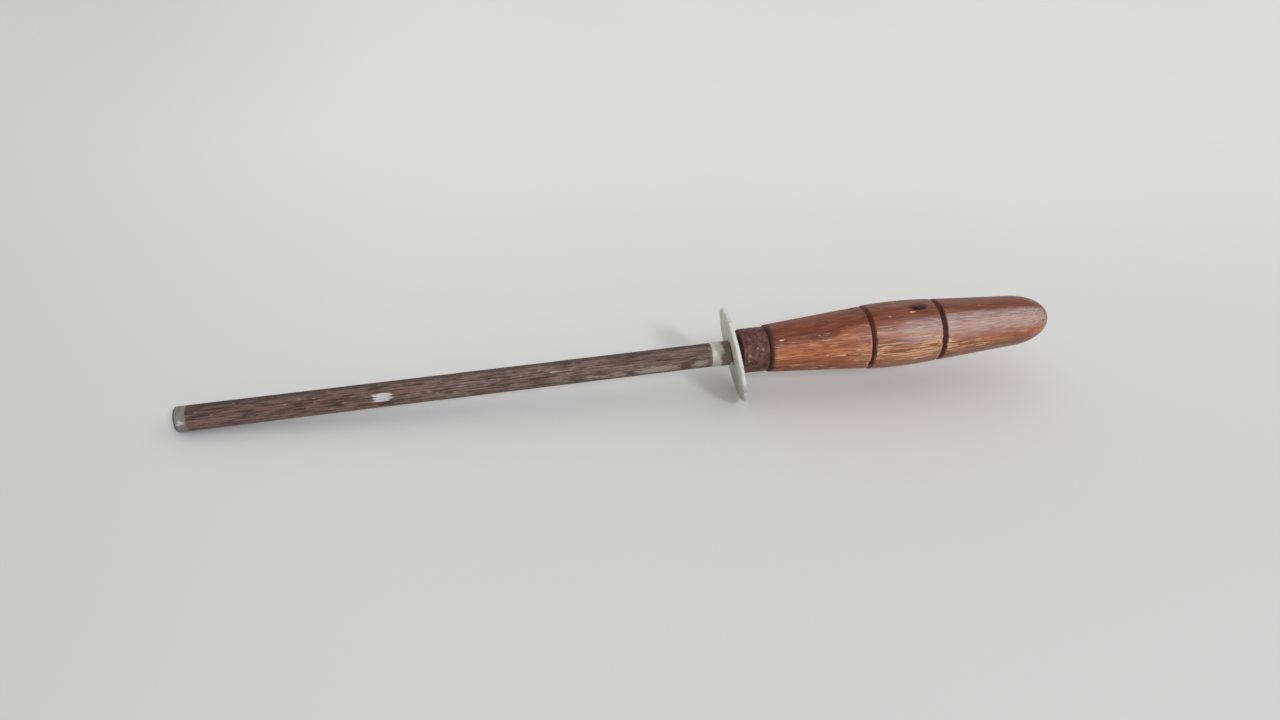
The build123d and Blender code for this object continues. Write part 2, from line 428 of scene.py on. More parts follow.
class Bench:
    """Places nodes in one tree and joins them up."""

    def __init__(self, tree):
        self.tree = tree

    def add(self, kind, **settings):
        """A new node, set out in rows of ten."""
        node = self.tree.nodes.new(kind)
        count = len(self.tree.nodes)
        node.location = (190 * (count % 10), -260 * (count // 10))
        for name, value in settings.items():
            setattr(node, name, value)
        return node

    def put(self, socket, value):
        """Links a socket's value in, or sets a plain number or colour."""
        if isinstance(value, bpy.types.NodeSocket):
            self.tree.links.new(value, socket)
        elif socket.type == "RGBA":
            socket.default_value = (*value[:3], 1.0)
        else:
            socket.default_value = value

    def math(self, operation, a, b=0.0, clamp=False):
        """One sum on two values."""
        node = self.add("ShaderNodeMath", operation=operation, use_clamp=clamp)
        self.put(node.inputs[0], a)
        self.put(node.inputs[1], b)
        return node.outputs[0]

    def mix(self, factor, a, b):
        """a where the factor is 0 and b where it is 1, for colours."""
        node = self.add("ShaderNodeMix", data_type="RGBA")
        self.put(node.inputs["Factor"], factor)
        self.put(node.inputs[6], a)
        self.put(node.inputs[7], b)
        return node.outputs[2]

    def tint(self, base, mask, share, colour):
        """A base with a colour laid over it where a mask says, at most to a share."""
        return self.mix(self.math("MULTIPLY", mask, share), base, colour)

    def blend(self, factor, a, b):
        """a where the factor is 0 and b where it is 1, for plain values."""
        node = self.add("ShaderNodeMix", data_type="FLOAT")
        self.put(node.inputs["Factor"], factor)
        self.put(node.inputs[2], a)
        self.put(node.inputs[3], b)
        return node.outputs[0]

    def between(self, value, low, high, start=0.0, end=1.0):
        """Smooth step of a value from low to high."""
        node = self.add("ShaderNodeMapRange", interpolation_type="SMOOTHSTEP")
        for socket, number in zip(node.inputs, (value, low, high, start, end)):
            self.put(socket, number)
        return node.outputs[0]

    def stretch(self, vector, x, y, z):
        """A position scaled along each axis."""
        node = self.add("ShaderNodeVectorMath", operation="MULTIPLY")
        self.put(node.inputs[0], vector)
        node.inputs[1].default_value = (x, y, z)
        return node.outputs[0]

    def noise(self, vector, scale, detail=3.0, roughness=0.55, distortion=0.0):
        """Cloudy values round 0.5."""
        node = self.add("ShaderNodeTexNoise")
        self.put(node.inputs["Vector"], vector)
        self.put(node.inputs["Scale"], scale)
        self.put(node.inputs["Detail"], detail)
        self.put(node.inputs["Roughness"], roughness)
        self.put(node.inputs["Distortion"], distortion)
        return node.outputs["Fac"]

    def mark(self, label):
        """A value that the mesh carries."""
        return self.add("ShaderNodeAttribute", attribute_name=label).outputs["Fac"]

    def place(self, packed=False):
        """Position on a piece, in metres along its own axes."""
        if packed:
            return self.add("ShaderNodeTexCoord").outputs["Object"]
        return self.add("ShaderNodeAttribute", attribute_name="own_place").outputs["Vector"]

    def bump(self, height, distance, strength):
        """A normal tilted by a height, whose full range is a distance in metres."""
        node = self.add("ShaderNodeBump")
        node.inputs["Strength"].default_value = strength
        node.inputs["Distance"].default_value = distance
        self.put(node.inputs["Height"], height)
        return node.outputs["Normal"]

    def group(self, tree, **values):
        """A shared group placed in this tree; an underscore stands for a space in a socket's name."""
        node = self.add("ShaderNodeGroup", node_tree=tree)
        for name, value in values.items():
            self.put(node.inputs[name.replace("_", " ")], value)
        return node.outputs

    def ragged(self, groups, label, breaking, raggedness, level, softness):
        """A mark on the mesh as a mask with a broken edge."""
        values = {"Field": self.mark(label), "Break": breaking, "Raggedness": raggedness}
        return self.group(groups["ragged"], **values, Level=level, Softness=softness)["Mask"]


def new_group(name, inputs, outputs):
    """A shader group with its sockets: (name, kind, default) in and (name, kind) out."""
    tree = bpy.data.node_groups.new(name, "ShaderNodeTree")
    for label, kind, default in inputs:
        socket = tree.interface.new_socket(label, in_out="INPUT", socket_type=kind)
        if default is not None:
            socket.default_value = default
    for label, kind in outputs:
        tree.interface.new_socket(label, in_out="OUTPUT", socket_type=kind)
    bench = Bench(tree)
    return tree, bench, bench.add("NodeGroupInput").outputs, bench.add("NodeGroupOutput").inputs


FLOAT, COLOR, VECTOR = "NodeSocketFloat", "NodeSocketColor", "NodeSocketVector"


def streaks_group():
    """Streaks along X, as grain in wood or rust in flutes."""
    tree, bench, given, result = new_group(
        "Long Streaks",
        [
            ("Vector", VECTOR, None),
            ("Along", FLOAT, 60.0),
            ("Across", FLOAT, 900.0),
            ("Low", FLOAT, 0.35),
            ("High", FLOAT, 0.65),
        ],
        [("Mask", FLOAT), ("Value", FLOAT)],
    )
    scale = bench.add("ShaderNodeCombineXYZ")
    bench.put(scale.inputs[0], given["Along"])
    bench.put(scale.inputs[1], given["Across"])
    bench.put(scale.inputs[2], given["Across"])
    drawn = bench.add("ShaderNodeVectorMath", operation="MULTIPLY")
    bench.put(drawn.inputs[0], given["Vector"])
    bench.put(drawn.inputs[1], scale.outputs[0])
    value = bench.noise(drawn.outputs[0], 1.0, 3.0, 0.6, 0.3)
    bench.put(result["Mask"], bench.between(value, given["Low"], given["High"]))
    bench.put(result["Value"], value)
    return tree


def ragged_group():
    """Gives a soft mark on the mesh a broken edge."""
    tree, bench, given, result = new_group(
        "Ragged Edge",
        [
            ("Field", FLOAT, 0.0),
            ("Break", FLOAT, 0.5),
            ("Raggedness", FLOAT, 0.6),
            ("Level", FLOAT, 0.3),
            ("Softness", FLOAT, 0.06),
        ],
        [("Mask", FLOAT)],
    )
    off = bench.math("SUBTRACT", given["Break"], 0.5)
    moved = bench.math("ADD", given["Field"], bench.math("MULTIPLY", off, given["Raggedness"]))
    low = bench.math("SUBTRACT", given["Level"], given["Softness"])
    high = bench.math("ADD", given["Level"], given["Softness"])
    inside = bench.math("GREATER_THAN", given["Field"], 0.004)
    mask = bench.math("MULTIPLY", bench.between(moved, low, high), inside)
    bench.put(result["Mask"], mask)
    return tree


def specks_group():
    """Small scattered specks of uneven size."""
    tree, bench, given, result = new_group(
        "Specks",
        [("Vector", VECTOR, None), ("Scale", FLOAT, 900.0), ("Size", FLOAT, 0.25), ("Density", FLOAT, 0.3)],
        [("Mask", FLOAT)],
    )
    cells = bench.add("ShaderNodeTexVoronoi", feature="F1")
    bench.put(cells.inputs["Vector"], given["Vector"])
    bench.put(cells.inputs["Scale"], given["Scale"])
    split = bench.add("ShaderNodeSeparateColor")
    bench.put(split.inputs[0], cells.outputs["Color"])
    reach = bench.math("MULTIPLY", given["Size"], bench.math("ADD", split.outputs[1], 0.35))
    near = bench.math("SUBTRACT", 1.0, bench.math("DIVIDE", cells.outputs["Distance"], reach), True)
    chosen = bench.math("LESS_THAN", split.outputs[0], given["Density"])
    bench.put(result["Mask"], bench.math("MULTIPLY", bench.between(near, 0.0, 0.5), chosen))
    return tree


def rust_group():
    """Mottled rust in three colours, with its pits."""
    tree, bench, given, result = new_group(
        "Rust",
        [
            ("Vector", VECTOR, None),
            ("Scale", FLOAT, 500.0),
            ("Dark", COLOR, (0.05, 0.02, 0.02, 1)),
            ("Mid", COLOR, (0.15, 0.07, 0.06, 1)),
            ("Pale", COLOR, (0.3, 0.17, 0.14, 1)),
            ("Pale Share", FLOAT, 0.3),
        ],
        [("Color", COLOR), ("Height", FLOAT), ("Roughness", FLOAT)],
    )
    coarse = bench.noise(given["Vector"], given["Scale"], 5.0, 0.62)
    fine = bench.noise(given["Vector"], bench.math("MULTIPLY", given["Scale"], 5.3), 3.0, 0.6)
    depth = bench.between(coarse, 0.38, 0.62)
    base = bench.mix(depth, given["Dark"], given["Mid"])
    edge = bench.math("SUBTRACT", 0.74, bench.math("MULTIPLY", given["Pale Share"], 0.3))
    high = bench.math("ADD", bench.math("MULTIPLY", fine, 0.55), bench.math("MULTIPLY", coarse, 0.5))
    bright = bench.between(high, edge, bench.math("ADD", edge, 0.12))
    bench.put(result["Color"], bench.mix(bright, base, given["Pale"]))
    bench.put(result["Height"], bench.blend(0.45, coarse, fine))
    bench.put(result["Roughness"], bench.blend(fine, 0.82, 0.55))
    return tree


def new_material(name):
    """An empty material, its bench and its surface shader, already joined up."""
    material = bpy.data.materials.new(name)
    material.use_nodes = True
    material.node_tree.nodes.clear()
    bench = Bench(material.node_tree)
    shader = bench.add("ShaderNodeBsdfPrincipled")
    output = bench.add("ShaderNodeOutputMaterial")
    bench.put(output.inputs["Surface"], shader.outputs["BSDF"])
    return material, bench, shader.inputs


# ---------------------------------------------------------------------------
# Materials
# ---------------------------------------------------------------------------

# Colours of small marks and hidden faces, as linear light
# Next colour: painted shade on the rod's top, also used for one real dark rust spot
SHADE_AND_DARK_SPOT_ON_RUST = (0.04, 0.03, 0.027)
RUST_SPOT = (0.1, 0.03, 0.024)
RUST_SPECK = (0.36, 0.26, 0.22)
STEEL_STAIN = (0.24, 0.21, 0.19)
STEEL_SHADE = (0.11, 0.1, 0.095)
# Next colour: a real stain on the neck plus painted shade and reflection from the guard
NECK_STAIN_AND_SHADE = (0.15, 0.115, 0.085)
CASTING_GRIT = (0.3, 0.31, 0.26)
CASTING_PIT = (0.1, 0.095, 0.07)
RUBBED_ALLOY = (0.8, 0.8, 0.8)
CASTING_SHADE = (0.13, 0.13, 0.11)
RUST_DOT = (0.4, 0.25, 0.22)
PUNCH_MARK = (0.66, 0.46, 0.41)
# Next colour: painted shade at the ferrule's rear end, and darker rust along its top
FERRULE_SHADE_AND_DARK_TOP = (0.05, 0.02, 0.018)
# Next colour: painted light, lighter than the rust, for the ferrule's end face in the guard's shade
FERRULE_END = (0.3, 0.12, 0.095)
TORN_HOLE = (0.06, 0.018, 0.015)
# Next colour: painted light, lighter than the wood, for its front end in the guard's shade
WOOD_END = (0.3, 0.12, 0.08)
RESIN_DARK = (0.03, 0.017, 0.01)
RESIN_PALE = (0.075, 0.045, 0.028)
RESIN_DUST = (0.2, 0.16, 0.12)
PIN_SHADE = (0.02, 0.006, 0.005)
FLOOR_SHADE = (0.1, 0.1, 0.105)
FLOOR_CLOUD = (0.6, 0.6, 0.6)


def rod_material(s, groups):
    """Rust film in long streaks over steel, worn grey on the ridges and bare at both ends, with painted shade
    on its top, tip end and neck, and a painted floor reflection below.
    """
    material, bench, shader = new_material("rusted_fluted_steel")
    place = bench.place()
    ridge = bench.mark("ridge")
    fine = bench.group(groups["streaks"], Vector=place, Along=130.0, Across=1250.0, Low=0.4, High=0.58)
    short = bench.group(groups["streaks"], Vector=place, Along=330.0, Across=1700.0, Low=0.42, High=0.66)
    red = bench.group(groups["streaks"], Vector=place, Along=105.0, Across=800.0, Low=0.44, High=0.7)
    blotch = bench.noise(bench.stretch(place, 0.5, 1, 1), 210.0, 4.0, 0.65)
    grit = bench.noise(place, 1900.0, 3.0, 0.7)
    film = bench.mix(fine["Mask"], s.rust_dark, s.rust_mid)
    reddish = bench.math("MULTIPLY", red["Mask"], bench.mark("reddish"))
    reddish = bench.math("MULTIPLY", reddish, bench.between(blotch, 0.38, 0.58, 0.15, 1.0))
    film = bench.mix(reddish, film, s.rust_red)
    # The worn mark is larger on the lower side, where it also paints the floor's reflection as paler film
    worn = bench.math("MULTIPLY", bench.between(blotch, 0.36, 0.62), bench.mark("worn"))
    worn = bench.math("MULTIPLY", worn, bench.between(short["Value"], 0.34, 0.62, 0.25, 1.0))
    film = bench.mix(worn, film, s.film_grey)
    dashes = bench.math("MULTIPLY", bench.between(short["Value"], 0.55, 0.66, 0.0, 0.7), bench.mark("worn"))
    film = bench.mix(dashes, film, s.beige)
    root = bench.math("MULTIPLY", bench.between(ridge, 0.8, 0.1), bench.between(blotch, 0.3, 0.6, 0.5, 0.12))
    film = bench.mix(root, film, s.rust_dark)
    film = bench.mix(bench.between(grit, 0.58, 0.76, 0.0, 0.4), film, s.film_grey)
    film = bench.mix(bench.between(grit, 0.42, 0.26, 0.0, 0.6), film, s.rust_dark)
    chips = bench.noise(place, 2600.0, 3.0, 0.6)
    beige = bench.ragged(groups, "beige", short["Value"], 1.9, 0.3, 0.2)
    film = bench.tint(film, beige, 0.8, s.beige)
    patch = bench.ragged(groups, "red", chips, 1.0, 0.2, 0.12)
    film = bench.tint(film, patch, 0.85, RUST_SPOT)
    # Painted shade: darkens the rod's top, most towards the tip; also one real dark rust spot below the fleck
    film = bench.tint(film, bench.mark("shade"), 0.72, SHADE_AND_DARK_SPOT_ON_RUST)
    drawn_out = bench.stretch(place, 0.4, 1, 1)
    specks = bench.group(groups["specks"], Vector=drawn_out, Scale=1000.0, Size=0.34, Density=0.12)
    film = bench.tint(film, specks["Mask"], 0.5, RUST_SPECK)
    stain = bench.noise(place, 420.0, 4.0, 0.65)
    steel = bench.mix(bench.between(stain, 0.46, 0.7, 0.0, 0.6), s.bare, STEEL_STAIN)
    steel = bench.mix(bench.mark("tip_shade"), steel, STEEL_SHADE)
    # Darker neck by the guard: a real stain, and painted shade and reflection of the guard's shaded face
    steel = bench.mix(bench.mark("neck_stain_and_shade"), steel, NECK_STAIN_AND_SHADE)
    edge = bench.ragged(groups, "bare", fine["Value"], 0.8, 0.5, 0.2)
    body = bench.mix(edge, film, steel)
    fleck = bench.ragged(groups, "fleck", fine["Value"], 2.2, 0.34, 0.12)
    body = bench.tint(body, fleck, 0.92, s.fleck)
    bench.put(shader["Base Color"], body)
    bench.put(shader["Metallic"], bench.math("MULTIPLY", edge, 0.45))
    rough = bench.blend(edge, bench.blend(chips, 0.85, 0.62), 0.5)
    bench.put(shader["Roughness"], rough)
    height = bench.math("ADD", fine["Value"], bench.math("MULTIPLY", grit, 0.9))
    bench.put(shader["Normal"], bench.bump(height, 0.00014, 0.6))
    return material


def guard_material(s, groups):
    """Dull mottled casting with pits, rust spots and a rubbed rim."""
    material, bench, shader = new_material("dull_cast_alloy")
    place = bench.place()
    cloud = bench.noise(place, 240.0, 5.0, 0.65)
    grit = bench.noise(place, 1500.0, 4.0, 0.65)
    base = bench.mix(bench.between(cloud, 0.38, 0.62), s.dull, s.pale)
    base = bench.mix(bench.between(grit, 0.5, 0.68, 0.0, 0.6), base, CASTING_GRIT)
    specks = bench.group(groups["specks"], Vector=place, Scale=620.0, Size=0.3, Density=0.2)
    speckled = bench.math("MULTIPLY", specks["Mask"], bench.mark("speckled"))
    base = bench.mix(speckled, base, CASTING_PIT)
    spots = bench.ragged(groups, "stain", grit, 1.2, 0.35, 0.18)
    base = bench.tint(base, spots, 0.75, s.stain)
    base = bench.tint(base, bench.mark("rubbed"), 0.8, RUBBED_ALLOY)
    base = bench.tint(base, bench.mark("shade"), 0.5, CASTING_SHADE)
    bench.put(shader["Base Color"], base)
    bench.put(shader["Metallic"], bench.between(cloud, 0.3, 0.7, 0.08, 0.25))
    bench.put(shader["Roughness"], bench.blend(grit, 0.45, 0.7))
    height = bench.math("ADD", grit, bench.math("MULTIPLY", specks["Mask"], -0.6))
    bench.put(shader["Normal"], bench.bump(height, 0.00014, 0.55))
    return material


def ferrule_material(s, groups):
    """Even mottled rust with two pale punch marks, painted shade at its rear end, darker along its top, and
    painted light on its front face.
    """
    material, bench, shader = new_material("rusted_ferrule")
    place = bench.place()
    rust = bench.group(
        groups["rust"],
        Vector=place,
        Scale=520.0,
        Dark=s.rust_dark,
        Mid=s.rust_mid,
        Pale=s.rust_pale,
        Pale_Share=0.4,
    )
    dots = bench.group(groups["specks"], Vector=place, Scale=1000.0, Size=0.34, Density=0.2)
    body = bench.tint(rust["Color"], dots["Mask"], 0.4, RUST_DOT)
    chips = bench.noise(place, 2200.0, 3.0, 0.6)
    body = bench.mix(bench.between(chips, 0.42, 0.3, 0.0, 0.3), body, s.rust_dark)
    punch = bench.ragged(groups, "punch", chips, 1.1, 0.35, 0.25)
    body = bench.tint(body, punch, 0.88, PUNCH_MARK)
    # Painted shade at the rear end where the ferrule meets the wood's shoulder; also darker along the top
    body = bench.mix(bench.mark("rear_shade_and_dark_top"), body, FERRULE_SHADE_AND_DARK_TOP)
    # Painted light: the front face sits in the guard's shade and is given a lighter red than its rust
    body = bench.mix(bench.mark("front"), body, FERRULE_END)
    bench.put(shader["Base Color"], body)
    shader["Metallic"].default_value = 0.1
    bench.put(shader["Roughness"], rust["Roughness"])
    bench.put(shader["Normal"], bench.bump(rust["Height"], 0.0002, 0.7))
    return material


def wood_material(s, groups):
    """Straight-grained stained wood under worn varnish, burnt in its grooves, with a painted sheen, painted
    shade on its underside and shoulder, and painted light on its front end.
    """
    material, bench, shader = new_material("worn_varnished_wood")
    place = bench.place()
    broad = bench.group(groups["streaks"], Vector=place, Along=20.0, Across=330.0, Low=0.36, High=0.64)
    grain = bench.group(groups["streaks"], Vector=place, Along=24.0, Across=1600.0, Low=0.42, High=0.6)
    fibre = bench.group(groups["streaks"], Vector=place, Along=52.0, Across=2700.0, Low=0.44, High=0.6)
    pores = bench.group(groups["streaks"], Vector=place, Along=170.0, Across=2600.0, Low=0.58, High=0.7)
    chips = bench.noise(place, 1500.0, 4.0, 0.6)
    wood = bench.mix(broad["Mask"], s.mid, s.light)
    wood = bench.tint(wood, grain["Mask"], 0.6, s.dark)
    wood = bench.mix(bench.between(fibre["Value"], 0.46, 0.34, 0.0, 0.4), wood, s.dark)
    wood = bench.mix(bench.between(fibre["Value"], 0.56, 0.68, 0.0, 0.55), wood, s.light)
    stain_edge = bench.ragged(groups, "stained", broad["Value"], 3.2, 0.5, 0.3)
    stained = bench.mix(bench.math("MULTIPLY", fibre["Mask"], 0.4), s.stained, s.mid)
    wood = bench.tint(wood, stain_edge, 0.8, stained)
    flame = bench.ragged(groups, "flame", grain["Value"], 3.4, 0.46, 0.2)
    flame_mask = bench.math("MULTIPLY", flame, bench.between(fibre["Value"], 0.4, 0.56, 0.3, 0.95))
    wood = bench.mix(flame_mask, wood, s.flame)
    # Painted sheen: the light's lavender-grey highlight on the varnish, mixed into the colour
    painted_sheen = bench.math("MULTIPLY", bench.mark("painted_sheen"), bench.between(fibre["Value"], 0.36, 0.6, 0.5, 1.05))
    painted_sheen = bench.math("MULTIPLY", painted_sheen, bench.between(grain["Value"], 0.36, 0.6, 0.65, 1.15))
    wood = bench.mix(painted_sheen, wood, s.painted_sheen)
    # Painted shade: the handle's underside is tinted towards the dark wood
    wood = bench.tint(wood, bench.mark("under"), 0.4, s.dark)
    pored = bench.math("MULTIPLY", pores["Mask"], bench.mark("pored"))
    wood = bench.mix(pored, wood, s.dark)
    flecks = bench.group(
        groups["specks"], Vector=bench.stretch(place, 0.3, 1, 1), Scale=700.0, Size=0.2, Density=0.05
    )
    wood = bench.tint(wood, flecks["Mask"], 0.55, s.raw)
    thin = bench.group(groups["streaks"], Vector=place, Along=100.0, Across=1700.0, Low=0.3, High=0.7)
    worn = bench.ragged(groups, "worn", thin["Value"], 4.2, 0.78, 0.16)
    wood = bench.tint(wood, worn, 0.72, s.raw)
    chipped = bench.ragged(groups, "chipped", chips, 1.1, 0.42, 0.2)
    wood = bench.tint(wood, chipped, 0.8, s.raw)
    lip = bench.ragged(groups, "lip", chips, 1.3, 0.55, 0.22)
    wood = bench.tint(wood, lip, 0.65, s.rubbed)
    # The burnt mark covers the grooves and, as painted shade, the shoulder behind the ferrule
    burnt = bench.ragged(groups, "burnt", chips, 0.5, 0.45, 0.35)
    dark = bench.mix(bench.between(chips, 0.4, 0.65), s.burnt, s.dark)
    wood = bench.mix(burnt, wood, dark)
    wood = bench.mix(bench.mark("hole"), wood, TORN_HOLE)
    # Painted light: the wood's front end sits in the guard's shade and is given a lighter red
    wood = bench.mix(bench.mark("front"), wood, WOOD_END)
    bench.put(shader["Base Color"], wood)
    rough = bench.blend(bench.mark("hole"), bench.blend(fibre["Value"], 0.66, 0.46), 0.95)
    bench.put(shader["Roughness"], rough)
    shader["Specular IOR Level"].default_value = 0.35
    gone = bench.math("ADD", worn, bench.math("ADD", burnt, lip), True)
    coat = bench.math("MULTIPLY", bench.mark("varnish"), bench.math("SUBTRACT", 1.0, gone, True))
    bench.put(shader["Coat Weight"], coat)
    shader["Coat Roughness"].default_value = 0.38
    shader["Coat IOR"].default_value = 1.45
    height = bench.math("ADD", fibre["Value"], bench.math("MULTIPLY", pores["Mask"], -0.5))
    height = bench.math("ADD", height, bench.math("MULTIPLY", chips, 0.25))
    bench.put(shader["Normal"], bench.bump(height, 0.00016, 0.5))
    return material


def resin_material(groups):
    """Dark resin with dust in it."""
    material, bench, shader = new_material("dark_resin")
    place = bench.place(packed=True)
    cloud = bench.noise(place, 300.0, 4.0, 0.6)
    dust = bench.group(groups["specks"], Vector=place, Scale=1400.0, Size=0.3, Density=0.3)
    body = bench.mix(bench.between(cloud, 0.35, 0.65), RESIN_DARK, RESIN_PALE)
    bench.put(shader["Base Color"], bench.tint(body, dust["Mask"], 0.4, RESIN_DUST))
    bench.put(shader["Roughness"], bench.blend(cloud, 0.35, 0.6))
    bench.put(shader["Normal"], bench.bump(cloud, 0.0002, 0.5))
    return material


def pin_material(s, groups):
    """Rusted steel, darkened as painted shade deep in its hole."""
    material, bench, shader = new_material("rusted_pin")
    place = bench.place(packed=True)
    rust = bench.group(
        groups["rust"],
        Vector=place,
        Scale=900.0,
        Dark=s.rust_dark,
        Mid=s.rust_mid,
        Pale=s.rust_pale,
        Pale_Share=0.2,
    )
    # Painted shade: the pin is darkened nearly to black at the bottom of its hole
    bench.put(shader["Base Color"], bench.mix(0.8, rust["Color"], PIN_SHADE))
    shader["Specular IOR Level"].default_value = 0.08
    bench.put(shader["Roughness"], rust["Roughness"])
    bench.put(shader["Normal"], bench.bump(rust["Height"], 0.00015, 0.6))
    return material


def floor_material(s):
    """Pale floor, with painted light making it a little brighter at the back and painted shade darkening the
    far left.
    """
    material, bench, shader = new_material("pale_floor")
    place = bench.place(packed=True)
    cloud = bench.noise(place, 6.0, 2.0, 0.5)
    split = bench.add("ShaderNodeSeparateXYZ")
    bench.put(split.inputs[0], place)
    # Painted light and shade: brighter towards the back, darker towards the far left
    base = bench.mix(bench.between(split.outputs[1], -0.1, 0.3), s.floor, s.floor_far)
    base = bench.mix(bench.between(split.outputs[0], -0.08, -0.32, 0.0, 0.16), base, FLOOR_SHADE)
    bench.put(shader["Base Color"], bench.mix(bench.between(cloud, 0.3, 0.7, 0.0, 0.05), base, FLOOR_CLOUD))
    shader["Roughness"].default_value = 0.9
    shader["Specular IOR Level"].default_value = 0.1
    return material


def shared_groups():
    """The shader groups, built once and kept for later pieces."""
    made = bpy.data.node_groups
    builders = {
        "streaks": ("Long Streaks", streaks_group),
        "ragged": ("Ragged Edge", ragged_group),
        "specks": ("Specks", specks_group),
        "rust": ("Rust", rust_group),
    }
    return {key: made.get(name) or build() for key, (name, build) in builders.items()}


# ---------------------------------------------------------------------------
# Pieces
# ---------------------------------------------------------------------------


def rod_finish(s, x, turn, y, z):
    """Where the rod is bare, stained, rusty, worn and flecked, and where shade and the floor's reflection are
    painted on.
    """
    ridge = COLLAR_RADIUS - s.ridge_drop
    front = HAIR - ROD_LENGTH
    flute_start = front + s.tip_length
    flute_end = -COLLAR_LENGTH - 0.1 * MM
    spot = spots_on(x, turn, ridge)
    bare_tip = smooth(-x, -flute_start - 1.3 * MM, -flute_start + 0.3 * MM)
    bare_collar = smooth(x, flute_end - 0.6 * MM, flute_end + 0.3 * MM)
    degrees = np.degrees(turn)
    toward_guard = (x - front) / ROD_LENGTH
    lower = smooth(-degrees, 44, 78)
    near_tip = 1 - smooth(toward_guard, 0.03, 0.22)
    # Worn film weighted to the lower side: wear, plus a painted reflection of the pale floor there
    worn = (0.3 + 0.8 * smooth(toward_guard, 0.1, 0.55) + 0.4 * near_tip * lower) * (0.32 + 0.75 * lower)
    worn = worn + 0.3 * smooth(toward_guard, 0.84, 0.97) * smooth(-degrees, 38, 60)
    # Painted shade on the rod's top, strongest near the tip
    shade = smooth(degrees + 12 * near_tip, -38, 0) * (1 - smooth(degrees, 50, 90)) * (1 - 0.4 * toward_guard)
    blots = lumps(x * 260, y * 420, z * 420)
    tip_face = 1 - smooth(x, front + 0.2 * MM, front + 1.0 * MM)
    return {
        "bare": np.maximum(bare_tip, bare_collar),
        # Neck by the guard: real stain plus painted shade from the guard
        "neck_stain_and_shade": 0.9 * smooth(x + 1.7 * MM * blots, -3.7 * MM, -2.5 * MM),
        "tip_shade": 0.75 * (tip_face + (x < -ROD_LENGTH / 2) * smooth(degrees, -66, -22)),
        "reddish": 0.75 - 0.3 * toward_guard + 0.2 * smooth(toward_guard, 0.75, 0.95),
        "worn": np.clip(worn, 0, 1),
        # The shade mark: painted shade on top, plus a real dark rust spot below the fleck
        "shade": np.maximum(shade, 0.9 * spot(-127.8, -88, 6.4, 4.0)),
        "fleck": largest(
            spot(-129.2, -62, 9.6, 4.1),
            0.42 * spot(-67.6, -45, 6.0, 1.2),
            0.5 * spot(-197.8, -74, 3.8, 4.6),
        ),
        "red": largest(
            1.3 * spot(-128.6, -88, 7.0, 4.4),
            spot(-17.6, -100, 5.5, 5.4),
            0.8 * spot(-148, -60, 8, 1.4),
        ),
        "beige": largest(
            spot(-28.5, -98, 26, 4.4),
            0.9 * spot(-12.0, -92, 9, 4.6),
            0.5 * spot(-50, -95, 30, 3.0),
        ),
    }


def build_rod(s):
    """The fluted rod with its bare tip, collar, seat and tang."""
    ridge = COLLAR_RADIUS - s.ridge_drop
    seat = COLLAR_RADIUS - s.seat_step
    front = HAIR - ROD_LENGTH
    tang_rear = HANDLE_FRONT + s.tang_length
    corner = s.tip_round * (1 - math.sqrt(0.5))
    slope = 0.35 * MM
    stretches = (
        straight((front, 0), (front, ridge - s.tip_round)),
        arc((front, ridge - s.tip_round), (front + corner, ridge - corner), (front + s.tip_round, ridge)),
        straight((front + s.tip_round, ridge), (-COLLAR_LENGTH, ridge)),
        straight((-COLLAR_LENGTH, ridge), (-COLLAR_LENGTH + slope, COLLAR_RADIUS)),
        straight((-COLLAR_LENGTH + slope, COLLAR_RADIUS), (0, COLLAR_RADIUS)),
        straight((0, COLLAR_RADIUS), (0, seat)),
        straight((0, seat), (HANDLE_FRONT, seat)),
        straight((HANDLE_FRONT, seat), (tang_rear, seat)),
        straight((tang_rear, seat), (tang_rear, 0)),
    )

    def step_at(x):
        if x < front + s.tip_length + s.runout:
            return 0.3 * MM
        if x < -COLLAR_LENGTH - s.runout:
            return s.ring_step
        return 0.34 * MM if x < HANDLE_FRONT else 3.0 * MM

    ring_x, ring_radius = rings_along(stretches, step_at)
    shares = np.array([-0.5, -0.37, -0.25, -0.12, 0.0, 0.12, 0.25, 0.37])
    pitch = 2 * math.pi / s.flutes
    turn = (np.arange(s.flutes)[:, None] + shares).ravel() * pitch
    groove = np.tile(1 - np.clip(np.abs(shares) / 0.37, 0, 1), s.flutes)
    x, turn, radius, y, z = surface(ring_x, ring_radius, turn)
    flute_start = front + s.tip_length
    flute_end = -COLLAR_LENGTH - 0.1 * MM
    rise = np.clip(np.minimum(x - flute_start, flute_end - x) / s.runout, 0, 1)
    fluted = rise * groove
    uneven = lumps(x * 60, y * 500, z * 500)
    pits = smooth(lumps(x * 500, y * 900, z * 900), 0.15, 0.7)
    shank = smooth(x, front, front + 2 * MM) * (1 - smooth(x, -0.4 * MM, 0.0))
    depth = fluted * s.flute_depth * np.clip(0.62 + 0.5 * uneven, 0.2, 1.0)
    wear = s.pitting * pits * (0.35 + 0.65 * rise) + 0.05 * MM * np.clip(uneven, 0, 1) * rise
    outer = radius > seat + 0.2 * MM
    radius = np.where(outer, radius - depth - wear * shank, radius)
    tang = x > HANDLE_FRONT + 0.01 * MM
    taper = 1 - (1 - s.tang_end) * np.clip((x - HANDLE_FRONT) / s.tang_length, 0, 1)
    half_thick = s.tang_thickness / 2 * taper
    half_wide = math.sqrt((seat - 0.04 * MM) ** 2 - (s.tang_thickness / 2) ** 2) * taper
    with np.errstate(divide="ignore"):
        flat = np.minimum(half_wide / np.abs(np.sin(turn)), half_thick / np.abs(np.cos(turn)))
    radius = np.where(tang, np.minimum(radius, flat), radius)
    marks = {"ridge": 1 - fluted} | rod_finish(s, x, turn, y, z)
    return turned_mesh("steel_rod_body", x, radius, turn, marks)


